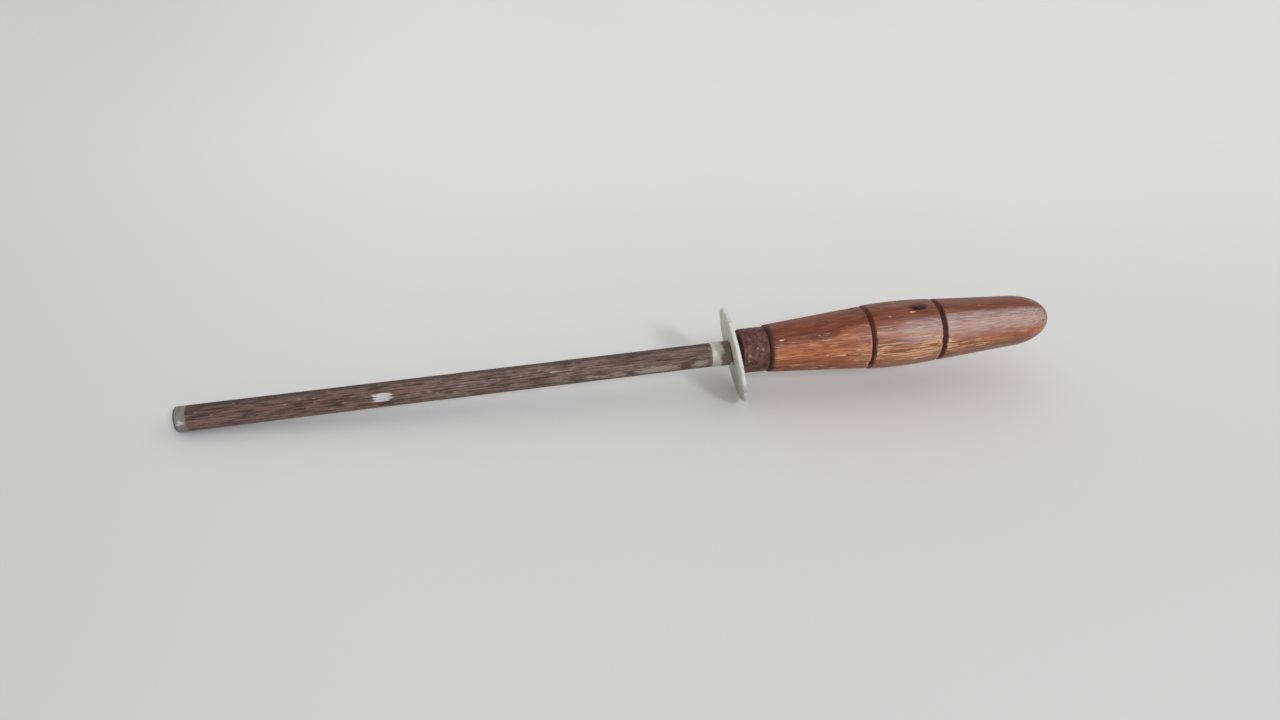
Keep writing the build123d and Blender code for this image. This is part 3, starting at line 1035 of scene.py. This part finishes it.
def build_guard(s):
    """The round guard, slightly hollow and nicked, leaning on its seat."""
    half = GUARD_THICKNESS / 2
    rim = GUARD_RADIUS - half
    stretches = (
        straight((-half, s.hole_slip), (-half, rim)),
        arc((-half, rim), (0, GUARD_RADIUS), (half, rim)),
        straight((half, rim), (half, s.hole_slip)),
        straight((half, s.hole_slip), (-half, s.hole_slip)),
    )

    def step_at(x):
        return 0.34 * MM if abs(abs(x) - half) < 1e-7 else 0.18 * MM

    ring_x, ring_radius = rings_along(stretches, step_at)
    ring_x, ring_radius = ring_x[:-1], ring_radius[:-1]
    columns = 300
    angles = np.arange(columns) * (2 * math.pi / columns)
    x, turn, radius, y, z = surface(ring_x, ring_radius, angles)
    hollow = smooth(lumps(x * 40, y * 90, z * 90), -0.8, 0.8)
    skin = smooth(lumps(x * 500, y * 600, z * 600), -0.2, 0.9)
    face = smooth(radius, s.hole_slip + 0.5 * MM, s.hole_slip + 1.5 * MM)
    sunk = (hollow * s.warp + skin * 0.05 * MM) * face
    x = x - np.sign(x) * np.minimum(sunk, np.abs(x))
    edge = smooth(radius, rim - 0.4 * MM, GUARD_RADIUS)
    nicks = smooth(lumps(x * 300, y * 700, z * 700), 0.35, 0.8)
    radius = radius - edge * (0.07 * MM * nicks + 0.05 * MM * hollow)
    around = np.maximum(radius, 1 * MM)

    def spot(out, degrees, length, width):
        across = gap_round(turn, math.radians(degrees)) * around
        reach = np.hypot((radius - out * MM) / (length * MM / 2), across / (width * MM / 2))
        return np.clip(1 - reach, 0, 1) * (x < 0)

    near_hole = 1 - smooth(radius, s.hole_slip + 0.3 * MM, s.hole_slip + 1.4 * MM)
    marks = {
        "stain": largest(
            spot(6.0, -20, 2.6, 2.0),
            spot(8.3, -28, 1.6, 1.2),
            0.8 * spot(5.0, 140, 2.5, 5.0),
            0.8 * near_hole,
        ),
        "speckled": 0.3 + 0.5 * smooth(-z, -2 * MM, 12 * MM),
        "shade": (1 - edge) * (x < 0) * smooth(-z, -4 * MM, 9 * MM) * (0.7 + 0.3 * hollow),
        "rubbed": edge * smooth(lumps(x * 100, y * 160, z * 160), -0.8, 0.3),
    }
    drop = GUARD_DROP * np.clip((radius - s.hole_slip) / (GUARD_RADIUS - s.hole_slip), 0, 1)
    return turned_mesh("guard_disc", x, radius, turn, marks, loop=True, drop=drop)


def build_ferrule(s):
    """The ferrule, a thin rusted tube with two punch marks."""
    outer, inner = FERRULE_RADIUS, FERRULE_RADIUS - s.wall
    front, rear, edge = HANDLE_FRONT, FERRULE_REAR, s.edge
    bow = edge * (1 - math.sqrt(0.5))
    stretches = (
        straight((front, inner), (front, outer - edge)),
        arc((front, outer - edge), (front + bow, outer - bow), (front + edge, outer), 12),
        straight((front + edge, outer), (rear - edge, outer)),
        arc((rear - edge, outer), (rear - bow, outer - bow), (rear, outer - edge), 12),
        straight((rear, outer - edge), (rear, inner)),
        straight((rear, inner), (front, inner)),
    )
    ring_x, ring_radius = rings_along(stretches, lambda x: 0.2 * MM)
    ring_x, ring_radius = ring_x[:-1], ring_radius[:-1]
    columns = 280
    angles = np.arange(columns) * (2 * math.pi / columns)
    x, turn, radius, y, z = surface(ring_x, ring_radius, angles)
    outside = smooth(radius, outer - 0.3 * MM, outer)
    pits = smooth(lumps(x * 400, y * 400, z * 400), 0.0, 0.75)
    scale = smooth(lumps(x * 900, y * 900, z * 900, 4), -0.1, 0.7)
    spot = spots_on(x, turn, outer)
    punch = np.maximum(spot(6.3, -68, 1.9, 2.1), spot(11.5, -55, 1.6, 1.8))
    notch = spot(13.9, -118, 2.2, 1.6)
    sunk = s.pitting * pits + 0.04 * MM * scale + 0.3 * MM * smooth(punch, 0.1, 0.8)
    sunk = sunk + 0.5 * MM * smooth(notch, 0.1, 0.6)
    radius = radius - outside * sunk
    marks = {
        "punch": largest(punch, 0.8 * spot(6.0, -82, 1.6, 1.0), 0.7 * spot(9.4, -50, 1.6, 0.9)),
        # Painted shade at the rear end by the wood's shoulder, and darker along the top
        "rear_shade_and_dark_top": np.maximum(
            0.75 * smooth(x, rear - 1.4 * MM, rear - 0.1 * MM),
            0.45 * smooth(np.degrees(turn), -52, -12),
        ),
        # Painted light on the front face, which sits in the guard's shade
        "front": 0.8 * (1 - smooth(x, front + 0.05 * MM, front + 0.3 * MM)),
    }
    return turned_mesh("ferrule_tube", x, radius, turn, marks, loop=True)


def handle_outline(s):
    """Stretches of the handle's outline, from the bore's bottom round to the butt."""
    front, rear = HANDLE_FRONT, HANDLE_REAR
    tenon = FERRULE_RADIUS - bpy.context.scene.steel_ferrule.wall - 0.02 * MM
    collar_radius = FERRULE_RADIUS + s.collar_rise
    bow = s.collar_round * (1 - math.sqrt(0.5))
    low = (FERRULE_REAR, collar_radius - s.collar_round)
    middle = (FERRULE_REAR + bow, collar_radius - bow)
    top = (FERRULE_REAR + s.collar_round, collar_radius)
    at_1, at_2 = front + s.groove_1_at, front + s.groove_2_at
    lip_1a, lip_1b = (at_1 - s.groove_1_width / 2, s.waist), (at_1 + s.groove_1_width / 2, s.belly_front)
    lip_2a, lip_2b = (at_2 - s.groove_2_width / 2, s.belly_rear), (at_2 + s.groove_2_width / 2, s.heel)
    root_1 = (at_1, min(s.waist, s.belly_front) - s.groove_1_depth)
    root_2 = (at_2, min(s.belly_rear, s.heel) - s.groove_2_depth)
    butt = (rear - s.butt_length, s.butt)
    slope = (s.butt - s.heel) / (butt[0] - lip_2b[0])
    bend = 4 / 3 * (math.sqrt(2) - 1)
    lead = bend * s.butt_length / math.hypot(1, slope)
    bore_end = front + s.bore_depth
    return (
        straight((bore_end + 0.6 * s.bore, 0), (bore_end, s.bore)),
        straight((bore_end, s.bore), (front, s.bore)),
        straight((front, s.bore), (front, tenon)),
        straight((front, tenon), (FERRULE_REAR, tenon)),
        straight((FERRULE_REAR, tenon), low),
        arc(low, middle, top),
        straight(top, lip_1a),
        arc(lip_1a, root_1, lip_1b),
        arc(lip_1b, ((lip_1b[0] + lip_2a[0]) / 2, s.belly), lip_2a),
        arc(lip_2a, root_2, lip_2b),
        straight(lip_2b, butt),
        bezier(butt, (butt[0] + lead, s.butt + lead * slope), (rear, bend * s.butt), (rear, 0)),
    )


def handle_columns():
    """Angles round the handle, closer together at both ends of the cross pin."""
    angles, here = [], -math.pi
    while here < math.pi:
        angles.append(here)
        near_top = abs(gap_round(here, -PIN_LEAN)) < math.radians(13)
        near_bottom = abs(gap_round(here, math.pi - PIN_LEAN)) < math.radians(8)
        here += math.radians(0.62 if near_top or near_bottom else 1.85)
    return np.array(angles) * (math.pi / -angles[0])


def in_groove(x, at, width):
    """1 in a groove, 0 on the wood beside it."""
    return 1 - smooth(np.abs(x - at), width / 2 - 0.5 * MM, width / 2 + 0.05 * MM)


def on_lip(x, at, width):
    """1 on the lip of a groove, fading to both sides."""
    return np.exp(-(((x - at) / width) ** 2))


def torn_hole(s, x, turn, around, crumbs):
    """Depth of the torn hollow over the pin, and a mask of the pin's hole underneath."""
    across = gap_round(turn, -PIN_LEAN) * around
    reach = np.abs((x - PIN_AT) / (s.hole_length / 2)) ** 1.5 + np.abs(across / (s.hole_width / 2)) ** 1.7
    reach = reach + 0.16 * crumbs
    torn = np.sqrt(np.clip(1 - reach, 0, 1))
    from_pin = np.hypot(x - PIN_AT, across)
    drilled = 1 - smooth(from_pin, s.pin, s.pin + 0.25 * MM)
    below = np.hypot(x - PIN_AT, gap_round(turn, math.pi - PIN_LEAN) * around)
    far_end = 1 - smooth(below, s.pin, s.pin + 0.3 * MM)
    return np.maximum(torn * s.hole_depth, drilled * (s.pin_sink + 0.5 * MM)), far_end


def handle_finish(s, x, turn):
    """Where the wood is stained, worn and varnished, and where sheen and shade are painted on."""
    groove_1, groove_2 = HANDLE_FRONT + s.groove_1_at, HANDLE_FRONT + s.groove_2_at
    degrees = np.degrees(turn)
    middle = smooth(x, groove_1, groove_1 + 2 * MM) * (1 - smooth(x, groove_2 - 2 * MM, groove_2))
    rear = smooth(x, groove_2, groove_2 + 2 * MM)
    near_side = smooth(-degrees, 20, 60)
    low_side = smooth(-degrees, 62, 78) * (1 - smooth(-degrees, 96, 118))
    band = smooth(-degrees, 23, 41)
    stained = degrees + 9 * (1 - smooth(x, 34 * MM, 50 * MM)) + 6 * smooth(x, 80 * MM, 84 * MM)
    flame = np.exp(-(((degrees + 27 - 6 * smooth(x, 20 * MM, 50 * MM)) / 13) ** 2))
    # Painted sheen of the light on the varnish, across the middle and rear, and a little along the top
    painted_sheen = 0.6 * middle * band * (1 - smooth(-degrees, 64, 82)) * (0.15 + 0.85 * smooth(x, 60 * MM, 73 * MM))
    painted_sheen = painted_sheen + 0.74 * rear * smooth(-degrees, 19, 34) * (1 - smooth(-degrees, 56, 86))
    painted_sheen = painted_sheen + 0.14 * smooth(x, 42 * MM, 52 * MM) * (1 - smooth(x, groove_1 - 2 * MM, groove_1)) * band
    painted_sheen = painted_sheen + 0.07 * smooth(degrees, -16, 2) * (1 - smooth(degrees, 50, 90))
    painted_sheen = painted_sheen * (1 - smooth(x, HANDLE_REAR - 7 * MM, HANDLE_REAR - 1 * MM))
    worn = 0.5 * middle * low_side * (0.7 + 0.3 * smooth(x, 60 * MM, 76 * MM)) + 0.24 * middle * near_side
    worn = worn + 0.58 * rear * low_side * (1 - smooth(x, 90 * MM, 116 * MM)) * smooth(-degrees, 70, 86)
    front_worn = 0.14 + 0.3 * smooth(x, 30 * MM, 52 * MM) * low_side
    worn = worn + (1 - middle) * (1 - rear) * front_worn * near_side
    return {
        "stained": smooth(stained, -52, -22) * (1 - smooth(degrees, 50, 90)),
        "flame": flame * (0.95 - 0.1 * rear),
        "painted_sheen": painted_sheen,
        # Painted shade on the handle's underside
        "under": smooth(-degrees, 84, 112) * (1 - smooth(-degrees, 150, 178)),
        "pored": 0.25 + 0.5 * middle * band,
        "worn": np.clip(worn, 0, 1),
        "varnish": (0.15 + 0.55 * smooth(x, 52 * MM, 60 * MM)) * (1 - 0.6 * smooth(degrees, -34, -8)),
    }


def build_handle(s):
    """The turned handle with its grooves, bore, torn-out pin hole, chips and dents."""
    stretches = handle_outline(s)
    groove_1, groove_2 = HANDLE_FRONT + s.groove_1_at, HANDLE_FRONT + s.groove_2_at
    outside_from = 3
    inner_x, inner_radius = rings_along(stretches[:outside_from], lambda x: 4 * MM)

    def step_at(x):
        if abs(x - groove_1) < 1.6 * MM or abs(x - groove_2) < 1.8 * MM:
            return 0.19 * MM
        if abs(x - PIN_AT) < 4.2 * MM:
            return 0.17 * MM
        if x < FERRULE_REAR:
            return 2 * MM
        if x > HANDLE_REAR - 3 * MM:
            return 0.3 * MM
        return s.ring_step

    outer_x, outer_radius = rings_along(stretches[outside_from:], step_at)
    ring_x = np.concatenate([inner_x, outer_x[1:]])
    ring_radius = np.concatenate([inner_radius, outer_radius[1:]])
    skin_from = len(inner_x)
    x, turn, radius, y, z = surface(ring_x, ring_radius, handle_columns())
    row = np.arange(len(ring_x))[:, None] * np.ones_like(x)
    skin = ((row >= skin_from) & (x > FERRULE_REAR + 0.02 * MM)).astype(float)
    around = np.maximum(radius, 1 * MM)
    spot = spots_on(x, turn, around)
    wavy = smooth(lumps(x * 18, y * 70, z * 70), -0.8, 0.8)
    fibres = smooth(lumps(x * 90, y * 900, z * 900), -0.1, 0.8)
    crumbs = lumps(x * 600, y * 600, z * 600)
    dents = smooth(lumps(x * 130, y * 260, z * 260, 2), 0.42, 0.85)
    hole, far_end = torn_hole(s, x, turn, around, crumbs)

    lip_1 = on_lip(x, groove_1 - s.groove_1_width / 2 - 0.25 * MM, 0.55 * MM)
    lip_2 = on_lip(x, groove_2 - s.groove_2_width / 2 - 0.25 * MM, 0.6 * MM)
    lip_3 = on_lip(x, groove_2 + s.groove_2_width / 2 + 0.3 * MM, 0.6 * MM)
    chipped = smooth(lumps(x * 200, y * 330, z * 330), 0.05, 0.6)
    chip = np.maximum(spot(82.0, -76, 3.4, 3.2), 0.7 * spot(53.0, -112, 3.0, 3.4))
    nicks = largest(
        spot(19.0, -39, 3.0, 1.1),
        spot(42.5, -85, 3.2, 1.4),
        spot(36.2, -84, 1.6, 0.9),
        spot(39.7, -124, 4.0, 1.1),
    )
    burnt = np.maximum(in_groove(x, groove_1, s.groove_1_width), in_groove(x, groove_2, s.groove_2_width))

    sunk = 0.10 * MM * wavy + 0.035 * MM * fibres + 0.10 * MM * dents
    sunk = sunk + 0.22 * MM * chipped * (lip_1 + lip_2 + lip_3) + 0.55 * MM * smooth(chip, 0.05, 0.6)
    sunk = sunk + 0.22 * MM * smooth(nicks, 0.05, 0.7) + 0.05 * MM * burnt * smooth(crumbs, -0.5, 0.6)
    sunk = np.maximum(sunk + hole, far_end * 0.6 * MM)
    radius = np.where(radius > 0, np.maximum(radius - skin * np.minimum(sunk, 0.9 * radius), 0.0), 0.0)

    degrees = np.degrees(turn)
    # Dark band on the shoulder behind the ferrule: painted shade where the ferrule meets the wood
    shoulder = 1 - smooth(x, FERRULE_REAR + 0.2 * MM, FERRULE_REAR + 3.3 * MM)
    by_hole = spot(PIN_AT / MM - 3.2, -17, 4.0, 1.3)
    by_groove = spot(85.3, -78, 3.4, 4.0)
    marks = handle_finish(s, x, turn) | {
        "burnt": largest(burnt, 0.85 * shoulder, 0.8 * spot(127.1, -63, 2.0, 1.6)),
        "lip": np.clip((lip_1 + 0.9 * lip_2 + 0.3 * lip_3) * smooth(-degrees, 28, 60), 0, 1),
        "chipped": np.clip(largest(1.2 * chip, 1.2 * nicks, 0.9 * by_hole, 0.7 * by_groove), 0, 1),
        # Painted light on the wood's front end, in the guard's shade
        "front": 0.8 * ((row < skin_from) & (radius > s.bore + 0.01 * MM) & (x < HANDLE_FRONT + 1 * MM)),
        "hole": smooth(np.maximum(hole, far_end * 0.6 * MM), 0.35 * MM, 1.2 * MM),
    }
    return turned_mesh("handle_wood_body", x, radius, turn, marks, sharp=50)


def build_floor(s):
    """A wide flat floor, in squares."""
    count, reach = 24, 3.0
    line = np.linspace(-reach, reach, count + 1)
    points = [(float(x), float(y), 0.0) for y in line for x in line]
    faces = []
    for row in range(count):
        for column in range(count):
            corner = row * (count + 1) + column
            faces.append((corner, corner + 1, corner + count + 2, corner + count + 1))
    mesh = bpy.data.meshes.new("floor")
    mesh.from_pydata(points, [], faces)
    mesh.materials.append(floor_material(s))
    floor = bpy.data.objects.new("floor", mesh)
    bpy.context.scene.collection.objects.link(floor)


def build_light(s):
    """Even light from all round, and one soft light from the front."""
    world = bpy.data.worlds.new("even_light")
    world.use_nodes = True
    background = world.node_tree.nodes["Background"]
    background.inputs["Color"].default_value = (1.0, 0.995, 0.93, 1)
    background.inputs["Strength"].default_value = s.ambient
    bpy.context.scene.world = world
    lamp = bpy.data.lights.new("soft_light", "AREA")
    lamp.shape = "DISK"
    lamp.size = s.light_width
    lamp.energy = s.light_power
    lamp.color = (0.86, 0.89, 1.0)
    source = bpy.data.objects.new("soft_light", lamp)
    bpy.context.scene.collection.objects.link(source)
    towards = Vector((0.28, -0.71, 0.63)).normalized()
    source.location = towards * s.light_distance
    source.rotation_euler = towards.to_track_quat("Z", "Y").to_euler()


def build_camera(s):
    """The camera, aimed, rolled and set back."""
    back = Vector(
        (
            math.sin(s.azimuth) * math.cos(s.elevation),
            -math.cos(s.azimuth) * math.cos(s.elevation),
            math.sin(s.elevation),
        )
    )
    data = bpy.data.cameras.new("camera")
    data.lens = s.lens
    data.sensor_width = 36
    data.clip_start = 0.01
    data.clip_end = 20
    camera = bpy.data.objects.new("camera", data)
    bpy.context.scene.collection.objects.link(camera)
    turn = back.to_track_quat("Z", "Y").to_matrix() @ Matrix.Rotation(s.roll, 3, "Z")
    camera.matrix_world = Matrix.Translation(Vector(s.aim) + back * s.distance) @ turn.to_4x4()
    bpy.context.scene.camera = camera


# ---------------------------------------------------------------------------
# Operators, panel and registering
# ---------------------------------------------------------------------------


class STEEL_OT_rod(bpy.types.Operator):
    """Build the fluted rod with its tang"""

    bl_idname = "steel.rod"
    bl_label = "Build Rod"

    def execute(self, context):
        settings = context.scene.steel_rod
        material = rod_material(settings, shared_groups())
        place_piece("steel_rod_body", build_rod(settings), STEEL, material, "steel_rod")
        return {"FINISHED"}


class STEEL_OT_guard(bpy.types.Operator):
    """Build the leaning guard"""

    bl_idname = "steel.guard"
    bl_label = "Build Guard"

    def execute(self, context):
        settings = context.scene.steel_guard
        material = guard_material(settings, shared_groups())
        place_piece("guard_disc", build_guard(settings), GUARD, material, "guard")
        return {"FINISHED"}


class STEEL_OT_ferrule(bpy.types.Operator):
    """Build the ferrule"""

    bl_idname = "steel.ferrule"
    bl_label = "Build Ferrule"

    def execute(self, context):
        settings = context.scene.steel_ferrule
        material = ferrule_material(settings, shared_groups())
        place_piece("ferrule_tube", build_ferrule(settings), HANDLE, material, "ferrule")
        return {"FINISHED"}


class STEEL_OT_handle(bpy.types.Operator):
    """Build the turned handle"""

    bl_idname = "steel.handle"
    bl_label = "Build Handle"

    def execute(self, context):
        settings = context.scene.steel_handle
        material = wood_material(settings, shared_groups())
        mesh = build_handle(settings)
        place_piece("handle_wood_body", mesh, HANDLE, material, "wood_handle")
        return {"FINISHED"}


class STEEL_OT_fixings(bpy.types.Operator):
    """Finish the resin and the cross pin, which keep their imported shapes"""

    bl_idname = "steel.fixings"
    bl_label = "Finish Resin and Pin"

    def execute(self, context):
        groups = shared_groups()
        finishes = {
            "tang_cement": (resin_material(groups), "cement_resin"),
            "tang_pin": (pin_material(context.scene.steel_ferrule, groups), "pin_steel"),
        }
        for node, (material, slot) in finishes.items():
            piece = frame["nodes"][node]
            piece.data.materials.clear()
            piece.data.materials.append(material)
        return {"FINISHED"}


class STEEL_OT_stage(bpy.types.Operator):
    """Set up the floor, the light and the camera"""

    bl_idname = "steel.stage"
    bl_label = "Set Up Stage"

    def execute(self, context):
        settings = context.scene.steel_stage
        build_floor(settings)
        build_light(settings)
        build_camera(settings)
        context.scene.view_settings.view_transform = "Standard"
        return {"FINISHED"}


class STEEL_PT_sidebar(bpy.types.Panel):
    """Lists the pieces of the steel"""

    bl_idname = "STEEL_PT_sidebar"
    bl_label = "Sharpening Steel"
    bl_space_type = "VIEW_3D"
    bl_region_type = "UI"
    bl_category = "Steel"

    def draw(self, context):
        for operator in OPERATORS:
            self.layout.operator(operator.bl_idname)


SETTINGS = {
    "steel_rod": RodSettings,
    "steel_guard": GuardSettings,
    "steel_ferrule": FerruleSettings,
    "steel_handle": HandleSettings,
    "steel_stage": StageSettings,
}
OPERATORS = (
    STEEL_OT_rod,
    STEEL_OT_guard,
    STEEL_OT_ferrule,
    STEEL_OT_handle,
    STEEL_OT_fixings,
    STEEL_OT_stage,
)


def register():
    """Registers the settings, the operators and the panel."""
    for name, group in SETTINGS.items():
        bpy.utils.register_class(group)
        setattr(bpy.types.Scene, name, PointerProperty(type=group))
    for operator in OPERATORS:
        bpy.utils.register_class(operator)
    bpy.utils.register_class(STEEL_PT_sidebar)


def unregister():
    """Takes everything out again, last first."""
    bpy.utils.unregister_class(STEEL_PT_sidebar)
    for operator in reversed(OPERATORS):
        bpy.utils.unregister_class(operator)
    for name, group in reversed(SETTINGS.items()):
        delattr(bpy.types.Scene, name)
        bpy.utils.unregister_class(group)


def main():
    """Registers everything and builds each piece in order."""
    register()
    bpy.ops.steel.rod()
    bpy.ops.steel.guard()
    bpy.ops.steel.ferrule()
    bpy.ops.steel.handle()
    bpy.ops.steel.fixings()
    bpy.ops.steel.stage()


if __name__ == "__main__":
    main()
